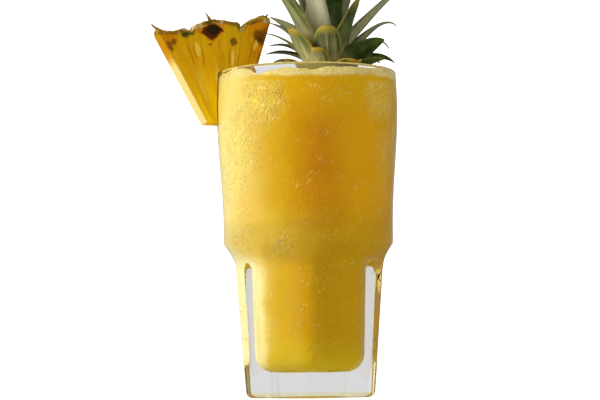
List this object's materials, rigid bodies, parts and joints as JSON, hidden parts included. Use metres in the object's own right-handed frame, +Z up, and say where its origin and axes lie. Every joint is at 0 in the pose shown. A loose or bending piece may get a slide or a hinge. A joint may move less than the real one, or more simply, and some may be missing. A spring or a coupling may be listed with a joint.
{
  "type": "pineapple smoothie in a tumbler",
  "caption": "Yellow pineapple smoothie in a tall panelled glass tumbler, with froth on top, a pineapple wedge on the rim and a pineapple crown standing in the drink.",
  "frame": {"origin": "centre of the tumbler's flat underside", "axes": "+Z up the tumbler's axis, -Y towards the viewer of the picture, -X towards the side with the fruit wedge"},
  "size_m": [0.1287, 0.084, 0.2341],
  "materials": {
    "clear_glass": "clear polished soda-lime glass, slightly grey-green at its edges",
    "smoothie": "opaque golden-yellow fruit pulp with pale specks of crushed ice",
    "froth": "cream-coloured froth of fine bubbles",
    "pineapple_flesh": "juicy yellow fruit flesh, golden brown at the rind, with dark brown eyes",
    "crown_leaf": "stiff waxy leaves, olive green with a grey bloom and brown-yellow tips"
  },
  "bodies": {
    "root": {"glass": "clear_glass", "smoothie": "smoothie", "froth": "froth", "pineapple_wedge": "pineapple_flesh", "crown": "crown_leaf"}
  },
  "joints": []
}
